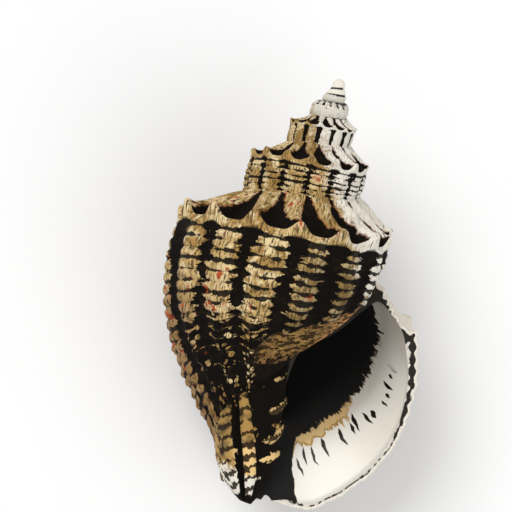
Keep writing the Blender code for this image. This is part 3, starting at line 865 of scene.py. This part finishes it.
# Porcelain-like calcite, which the animal lays down smooth and glossy inside: bone white at the lip,
# peach further in at its lower end, and near black deeper in as painted shade. Its tint changes over
# about 8 mm, the shade's edge is drawn out in tongues of 1 to 2 mm, and the wrinkles about 2 mm apart.
PORCELAIN = colour("#FBF6EC")
PEACH = colour("#F0CB89")
CARAMEL = colour("#A87A36")
INK = colour("#0A0705")
WRINKLE = colour("#1C130B")


def shell_lining():
    """Layers: white and cream, the peach band, the row of wrinkles, then the painted shade inside."""
    material, tree, surface = new_material("porcelain_calcite")
    where = add(tree, "TexCoord").node.outputs["Object"]
    ribs, run, _ = add(tree, "SeparateXYZ", add(tree, "UVMap", uv_map="growth")).node.outputs
    depth = add(tree, "SeparateXYZ", add(tree, "UVMap", uv_map="lining")).node.outputs[1]
    soft = add(tree, "TexNoise", where, 120.0, 3.0, 0.5)
    mottle = add(tree, "TexNoise", where, 420.0, 3.0, 0.6)
    pale = add(tree, "MapRange", soft, 0.35, 0.65, 0.0, 0.15)
    pale = add(tree, "Mix", pale, PORCELAIN, CREAM, data_type="RGBA")

    # The edge of the painted shade inside is drawn out into short tongues, and runs straight along the canal
    across = add(tree, "Math", run, 1.1, operation="MULTIPLY")
    across = add(tree, "CombineXYZ", across, add(tree, "Math", ribs, 0.9, operation="MULTIPLY"), 0.0)
    tongue = add(tree, "Math", add(tree, "TexNoise", across, 1.0, 4.0, 0.7), 0.5, operation="SUBTRACT")
    calm = add(tree, "MapRange", run, 6.0, 10.0, 0.2, 0.65)
    calm = add(tree, "Math", calm, add(tree, "MapRange", run, 38.0, 42.0, 1.0, 0.25), operation="MULTIPLY")
    reach = add(tree, "Math", tongue, calm, depth, operation="MULTIPLY_ADD")
    reach = add(tree, "Math", mottle, 0.3, reach, operation="MULTIPLY_ADD")
    reach = add(tree, "Math", reach, add(tree, "MapRange", run, 39.0, 47.0, -0.15, 1.2, **CURVE))
    band = add(tree, "MapRange", run, 24.0, 31.0, 0.0, 0.34, **CURVE)
    band = add(tree, "Math", band, add(tree, "MapRange", run, 38.5, 42.0, 1.0, 0.0), operation="MULTIPLY")
    band = add(tree, "Math", reach, band)
    peach = add(tree, "MapRange", band, 0.0, 0.05, 0.0, 0.95, **CURVE)
    pale = add(tree, "Mix", peach, pale, PEACH, data_type="RGBA")
    line = add(tree, "Math", add(tree, "Math", band, 0.07, operation="SUBTRACT"), operation="ABSOLUTE")
    line = add(tree, "MapRange", line, 0.02, 0.04, 0.9, 0.0, **CURVE)
    line = add(tree, "Math", line, add(tree, "MapRange", run, 26.0, 30.0), operation="MULTIPLY")
    pale = add(tree, "Mix", line, pale, CARAMEL, data_type="RGBA")
    black = add(tree, "MapRange", reach, 0.0, 0.05, **CURVE)

    # Short wrinkles stand in a row between the painted shade inside and the edge, each one different;
    # they are bumped in, and their dark colour is painted shade
    comb = add(tree, "Math", soft, 1.5, operation="MULTIPLY")
    comb = add(tree, "Math", run, 0.55, comb, operation="MULTIPLY_ADD")
    which = add(tree, "Math", comb, operation="FLOOR")
    which = add(tree, "TexWhiteNoise", which, noise_dimensions="1D").node.outputs["Color"]
    lean, start, size_of = add(tree, "SeparateColor", which).node.outputs
    thick = add(tree, "MapRange", lean, 0.0, 1.0, 0.12, 0.3)
    lean = add(tree, "MapRange", lean, 0.0, 1.0, -1.1, 1.1)
    lean = add(tree, "Math", lean, add(tree, "MapRange", run, 18.0, 30.0, 0.3, 1.0), operation="MULTIPLY")
    comb = add(tree, "Math", add(tree, "Math", comb, operation="FRACT"), 0.75, operation="SUBTRACT")
    comb = add(tree, "Math", depth, lean, comb, operation="MULTIPLY_ADD")
    comb = add(tree, "Math", mottle, 0.5, comb, operation="MULTIPLY_ADD")
    comb = add(tree, "Math", comb, operation="ABSOLUTE")
    start = add(tree, "MapRange", start, 0.0, 1.0, -0.76, -0.6)
    along = add(tree, "Math", depth, start, operation="SUBTRACT")
    size_of = add(tree, "MapRange", size_of, 0.0, 1.0, 0.14, 0.4)
    along = add(tree, "Math", along, size_of, operation="DIVIDE", use_clamp=True)
    width = add(tree, "Math", add(tree, "Math", along, math.pi, operation="MULTIPLY"), operation="SINE")
    width = add(tree, "Math", width, thick, operation="MULTIPLY")
    wrinkle = add(tree, "Math", width, comb, operation="SUBTRACT")
    wrinkle = add(tree, "MapRange", wrinkle, 0.0, 0.04, **CURVE)
    lower = add(tree, "MapRange", run, 14.0, 16.0)
    wrinkle = add(tree, "Math", wrinkle, lower, operation="MULTIPLY")
    pale = add(tree, "Mix", wrinkle, pale, WRINKLE, data_type="RGBA")
    tree.links.new(add(tree, "Mix", black, pale, INK, data_type="RGBA"), surface.inputs["Base Color"])
    tree.links.new(add(tree, "MapRange", black, 0.0, 1.0, 0.32, 0.9), surface.inputs["Roughness"])
    surface.inputs["IOR"].default_value = 1.53
    height = add(tree, "Math", soft, 0.3, operation="MULTIPLY")
    height = add(tree, "Math", wrinkle, -1.0, height, operation="MULTIPLY_ADD")
    tree.links.new(add(tree, "Bump", 0.6, 0.0005, None, height), surface.inputs["Normal"])
    return material


# The pillar's calcite: scaly on the ridge and smooth on the folds, stained brown high up, with painted
# shade near black in the chink and between the ridge and folds, peach lower down and bone white at the
# tip. Its mottling is about 3 mm across, with specks of 1 mm, and the scales on the ridge are the
# canal's old ends, 1.9 mm apart.
def shell_pillar():
    """Layers: calcite stained by height, the scaly ridge, plate and folds, then painted shade between."""
    material, tree, surface = new_material("scaly_calcite")
    where = add(tree, "TexCoord").node.outputs["Object"]
    height = add(tree, "SeparateXYZ", add(tree, "UVMap", uv_map="growth")).node.outputs[1]
    plate, chink, _ = add(tree, "SeparateXYZ", add(tree, "UVMap", uv_map="relief")).node.outputs
    ridge, fold, _ = add(tree, "SeparateXYZ", add(tree, "UVMap", uv_map="place")).node.outputs
    scale = add(tree, "SeparateXYZ", add(tree, "UVMap", uv_map="lining")).node.outputs[1]
    mottle = add(tree, "TexNoise", where, 350.0, 3.0, 0.6)
    fine = add(tree, "TexNoise", where, 1000.0, 3.0, 0.6)
    ragged = add(tree, "Math", mottle, fine)
    ragged = add(tree, "Math", ragged, 0.5, -0.5, operation="MULTIPLY_ADD")
    level = add(tree, "Math", ragged, 8.0, height, operation="MULTIPLY_ADD")
    brown = add(tree, "MapRange", mottle, 0.4, 0.62, **CURVE)
    stained = add(tree, "Mix", brown, OLIVE, OCHRE, data_type="RGBA")
    warm = add(tree, "MapRange", level, 66.5, 68.5, **CURVE)
    warm = add(tree, "Math", warm, add(tree, "MapRange", ridge, 0.2, 0.8, 1.0, 0.15), operation="MULTIPLY")
    warm = add(tree, "Math", warm, fold, operation="MAXIMUM", use_clamp=True)
    stained = add(tree, "Mix", warm, stained, PEACH, data_type="RGBA")
    white = add(tree, "MapRange", level, 72.5, 73.5, **CURVE)
    stained = add(tree, "Mix", white, stained, BONE, data_type="RGBA")
    edge = add(tree, "Math", ragged, 2.6, scale, operation="MULTIPLY_ADD")
    edge = add(tree, "MapRange", edge, 0.38, 0.5, 0.97, 0.0, **CURVE)
    stained = add(tree, "Mix", edge, stained, BROWN, data_type="RGBA")
    # Painted shade, near black, in the chink and wherever the ridge, plate and folds don't stand out; pale
    # marks break it lower down
    unshaded = add(tree, "Math", plate, ridge, operation="MAXIMUM")
    unshaded = add(tree, "Math", unshaded, fold, operation="MAXIMUM")
    unshaded = add(tree, "Math", ragged, 2.0, unshaded, operation="MULTIPLY_ADD")
    unshaded = add(tree, "MapRange", unshaded, 0.45, 0.57, **CURVE)
    marks = add(tree, "MapRange", mottle, 0.62, 0.66, **CURVE)
    marks = add(tree, "Math", marks, add(tree, "MapRange", height, 55.0, 58.0), operation="MULTIPLY")
    unshaded = add(tree, "Math", unshaded, marks, operation="MAXIMUM")
    open_side = add(tree, "MapRange", chink, 0.35, 0.75, **CURVE)
    unshaded = add(tree, "Math", unshaded, open_side, operation="MULTIPLY")
    tree.links.new(add(tree, "Mix", unshaded, SHADE_AND_LINE_BLACK, stained, data_type="RGBA"), surface.inputs["Base Color"])
    tree.links.new(add(tree, "MapRange", unshaded, 0.0, 1.0, 0.95, 0.6), surface.inputs["Roughness"])
    surface.inputs["Specular IOR Level"].default_value = 0.15
    tree.links.new(add(tree, "Bump", 0.5, 0.0003, None, ragged), surface.inputs["Normal"])
    return material


shell_mesh.materials.clear()
for material in (shell_outside(), shell_lining(), shell_pillar()):
    shell_mesh.materials.append(material)
zone = np.empty(len(shell_mesh.loops) * 2)
shell_mesh.uv_layers["lining"].data.foreach_get("uv", zone)
starts = np.empty(len(shell_mesh.polygons), dtype=np.int32)
shell_mesh.polygons.foreach_get("loop_start", starts)
shell_mesh.polygons.foreach_set("material_index", np.rint(zone[0::2][starts]).astype(np.int32))
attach(shell, "root")
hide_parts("shell")

# The table that the shell lies on: a sheet of matt white paper, laid flat, with its fine fibres. Two
# soft lamps light it, the stronger one from the apex's left, in a white room.
FLOOR_SIZE = 1.4
ROOM_LIGHT = 0.52


def make_floor():
    """A plane at the height that the shell rests on."""
    sheet = bmesh.new()
    bmesh.ops.create_grid(sheet, x_segments=1, y_segments=1, size=FLOOR_SIZE / 2.0)
    bmesh.ops.translate(sheet, verts=sheet.verts, vec=(0.0, 0.0, low.z))
    mesh = bpy.data.meshes.new("floor")
    sheet.to_mesh(mesh)
    sheet.free()
    floor = bpy.data.objects.new("floor", mesh)
    bpy.context.scene.collection.objects.link(floor)
    material, tree, surface = new_material("white_paper")
    where = add(tree, "TexCoord").node.outputs["Object"]
    fibre = add(tree, "TexNoise", where, 900.0, 4.0)
    seen = add(tree, "LightPath").node.outputs["Is Camera Ray"]
    shade = add(tree, "MapRange", fibre, 0.0, 1.0, 0.19, 0.21)
    shade = add(tree, "Math", shade, seen, 0.8, operation="MULTIPLY_ADD")
    tree.links.new(shade, surface.inputs["Base Color"])
    surface.inputs["Roughness"].default_value = 0.9
    surface.inputs["Specular IOR Level"].default_value = 0.1
    mesh.materials.append(material)
    return floor


make_floor()


def add_lamp(name, direction, distance, width, power):
    """A square soft lamp that points at the shell's middle."""
    lamp = bpy.data.lights.new(name, "AREA")
    lamp.size = width
    lamp.energy = power
    holder = bpy.data.objects.new(name, lamp)
    toward = laid.to_3x3() @ Vector(direction).normalized()
    holder.location = middle + toward * distance
    holder.rotation_euler = toward.to_track_quat("Z", "Y").to_euler()
    bpy.context.scene.collection.objects.link(holder)


middle = (Vector(cad_box[0]) + Vector(cad_box[1])) / 2.0
add_lamp("key", (-0.6, 0.5, 1.0), distance=2.0, width=1.2, power=19.0)
add_lamp("fill", (0.8, -0.4, 0.9), distance=2.0, width=1.8, power=11.7)
world = bpy.data.worlds.new("studio")
bpy.context.scene.world = world
world.use_nodes = True
sky = world.node_tree
background = sky.nodes["Background"]
seen = add(sky, "LightPath").node.outputs["Is Camera Ray"]
strength = add(sky, "MapRange", seen, 0.0, 1.0, ROOM_LIGHT, 1.0)
sky.links.new(strength, background.inputs["Strength"])
background.inputs["Color"].default_value = (1.0, 1.0, 1.0, 1.0)

# The camera looks straight down on the mouth's side of the shell through a long lens, turned so that
# the apex leans to the right.
CAMERA_DISTANCE = 0.65
VIEW_WIDTH = 0.09395
VIEW_CENTRE = (-6.55, -34.15, 0.0)
LEAN = math.radians(15.0)
camera = bpy.data.cameras.new("camera")
camera.sensor_width = 36.0
camera.lens = 36.0 * CAMERA_DISTANCE / VIEW_WIDTH
camera.clip_start = 0.05
holder = bpy.data.objects.new("camera", camera)
aim = Matrix.Translation(pole) @ laid @ Matrix.Translation(Vector(VIEW_CENTRE) * MM)
holder.matrix_world = aim @ Matrix.Rotation(LEAN, 4, "Z") @ Matrix.Translation((0.0, 0.0, CAMERA_DISTANCE))
bpy.context.scene.collection.objects.link(holder)
bpy.context.scene.camera = holder
bpy.context.scene.view_settings.view_transform = "Standard"
